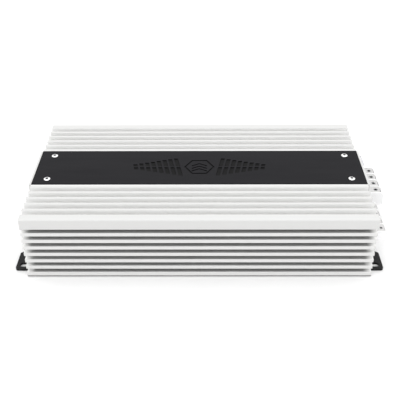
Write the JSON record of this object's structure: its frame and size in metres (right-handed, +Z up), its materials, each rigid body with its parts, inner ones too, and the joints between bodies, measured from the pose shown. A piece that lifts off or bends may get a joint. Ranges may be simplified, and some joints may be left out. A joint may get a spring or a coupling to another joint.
{
  "type": "car amplifier",
  "caption": "Long finned aluminium car audio amplifier with a black engraved cover plate, slotted feet, clamp terminals and fuses on one end, controls on the other.",
  "frame": {"origin": "centre of the four foot slots, in the plane of the underside", "axes": "+X along the fins towards the wire terminals, +Y from the front side to the rear side, +Z up through the cover plate"},
  "size_m": [0.3348, 0.168, 0.0616],
  "materials": {
    "heatsink_paint": "satin silver white",
    "cover_black": "black anodised",
    "panel_silver": "satin silver white",
    "sheet_black": "powder coated",
    "bright_screw": "polished",
    "black_screw": "black oxide",
    "set_screw": "nickel plated",
    "clear_plastic": "clear",
    "nickel": "satin nickel",
    "tin": "tinned",
    "fuse_clear": "clear",
    "black_plastic": "moulded",
    "gold": "gold plated",
    "white_plastic": "moulded",
    "red_plastic": "moulded",
    "pot_grey": "moulded",
    "knob_black": "moulded",
    "led_lens": "clear",
    "board_green": "solder mask",
    "board_blue": "solder mask",
    "brass": "machined",
    "ferrite": "coated",
    "iron_powder": "coated",
    "copper_wire": "enamelled",
    "capacitor_sleeve": "shrink sleeve",
    "package_black": "moulded",
    "pad_grey": "silicone",
    "steel_bar": "zinc plated"
  },
  "bodies": {
    "chassis": {"heatsink": "heatsink_paint", "top_plate": "cover_black", "top_plate_screws": "bright_screw", "bottom_plate": "sheet_black", "bottom_plate_screws": "black_screw", "left_end_panel": "panel_silver", "right_end_panel": "panel_silver", "end_panel_screws": "black_screw", "foot_front_left": "sheet_black", "foot_front_right": "sheet_black", "foot_rear_left": "sheet_black", "foot_rear_right": "sheet_black", "foot_screws": "black_screw", "power_terminal_housing": "clear_plastic", "power_terminal_contacts": "nickel", "speaker_terminal_housing": "clear_plastic", "speaker_terminal_contacts": "nickel", "fuse_holder": "black_plastic", "fuse_clips": "tin", "rca_base": "black_plastic", "rca_shells": "gold", "rca_white_inserts": "white_plastic", "rca_red_inserts": "red_plastic", "rca_contacts": "gold", "pot_bodies": "pot_grey", "switch_bodies": "tin", "remote_port": "black_plastic", "status_leds": "led_lens", "main_pcb": "board_green", "pcb_standoffs": "brass", "pcb_screws": "bright_screw", "transformer_cores": "ferrite", "transformer_windings": "copper_wire", "inductor_cores": "iron_powder", "inductor_windings": "copper_wire", "capacitors": "capacitor_sleeve", "power_transistors": "package_black", "thermal_pads": "pad_grey", "clamp_bars": "steel_bar", "clamp_bar_screws": "bright_screw", "driver_board": "board_blue"},
    "power_clamp_1": {"power_clamp_screw_1": "set_screw"},
    "power_clamp_2": {"power_clamp_screw_2": "set_screw"},
    "power_clamp_3": {"power_clamp_screw_3": "set_screw"},
    "power_clamp_4": {"power_clamp_screw_4": "set_screw"},
    "speaker_clamp_1": {"speaker_clamp_screw_1": "set_screw"},
    "speaker_clamp_2": {"speaker_clamp_screw_2": "set_screw"},
    "speaker_clamp_3": {"speaker_clamp_screw_3": "set_screw"},
    "speaker_clamp_4": {"speaker_clamp_screw_4": "set_screw"},
    "lower_fuse": {"lower_fuse_cap": "fuse_clear", "lower_fuse_blades": "tin"},
    "upper_fuse": {"upper_fuse_cap": "fuse_clear", "upper_fuse_blades": "tin"},
    "gain_control": {"gain_knob": "knob_black"},
    "lowpass_control": {"lowpass_knob": "knob_black"},
    "highpass_control": {"highpass_knob": "knob_black"},
    "bass_control": {"bass_knob": "knob_black"},
    "crossover_slider": {"crossover_switch": "knob_black"},
    "input_level_slider": {"input_level_switch": "knob_black"}
  },
  "joints": [
    {"name": "power_clamp_1_drive", "type": "slide", "parent": "chassis", "child": "power_clamp_1", "axis": [0, 0, 1], "range_m": [-0.0035, 0]},
    {"name": "power_clamp_2_drive", "type": "slide", "parent": "chassis", "child": "power_clamp_2", "axis": [0, 0, 1], "range_m": [-0.0035, 0]},
    {"name": "power_clamp_3_drive", "type": "slide", "parent": "chassis", "child": "power_clamp_3", "axis": [0, 0, 1], "range_m": [-0.0035, 0]},
    {"name": "power_clamp_4_drive", "type": "slide", "parent": "chassis", "child": "power_clamp_4", "axis": [0, 0, 1], "range_m": [-0.0035, 0]},
    {"name": "speaker_clamp_1_drive", "type": "slide", "parent": "chassis", "child": "speaker_clamp_1", "axis": [0, 0, 1], "range_m": [-0.0025, 0]},
    {"name": "speaker_clamp_2_drive", "type": "slide", "parent": "chassis", "child": "speaker_clamp_2", "axis": [0, 0, 1], "range_m": [-0.0025, 0]},
    {"name": "speaker_clamp_3_drive", "type": "slide", "parent": "chassis", "child": "speaker_clamp_3", "axis": [0, 0, 1], "range_m": [-0.0025, 0]},
    {"name": "speaker_clamp_4_drive", "type": "slide", "parent": "chassis", "child": "speaker_clamp_4", "axis": [0, 0, 1], "range_m": [-0.0025, 0]},
    {"name": "lower_fuse_pull", "type": "slide", "parent": "chassis", "child": "lower_fuse", "axis": [1, 0, 0], "range_m": [0, 0.015]},
    {"name": "upper_fuse_pull", "type": "slide", "parent": "chassis", "child": "upper_fuse", "axis": [1, 0, 0], "range_m": [0, 0.015]},
    {"name": "gain_turn", "type": "hinge", "parent": "chassis", "child": "gain_control", "pos_m": [-0.155, 0.007, 0.0305], "axis": [-1, 0, 0], "range_deg": [-150, 150]},
    {"name": "lowpass_turn", "type": "hinge", "parent": "chassis", "child": "lowpass_control", "pos_m": [-0.155, -0.004, 0.0305], "axis": [-1, 0, 0], "range_deg": [-150, 150]},
    {"name": "highpass_turn", "type": "hinge", "parent": "chassis", "child": "highpass_control", "pos_m": [-0.155, -0.015, 0.0305], "axis": [-1, 0, 0], "range_deg": [-150, 150]},
    {"name": "bass_turn", "type": "hinge", "parent": "chassis", "child": "bass_control", "pos_m": [-0.155, -0.026, 0.0305], "axis": [-1, 0, 0], "range_deg": [-150, 150]},
    {"name": "crossover_slide", "type": "slide", "parent": "chassis", "child": "crossover_slider", "axis": [0, 1, 0], "range_m": [-0.002, 0.002]},
    {"name": "input_level_slide", "type": "slide", "parent": "chassis", "child": "input_level_slider", "axis": [0, 1, 0], "range_m": [0, 0.003]}
  ]
}
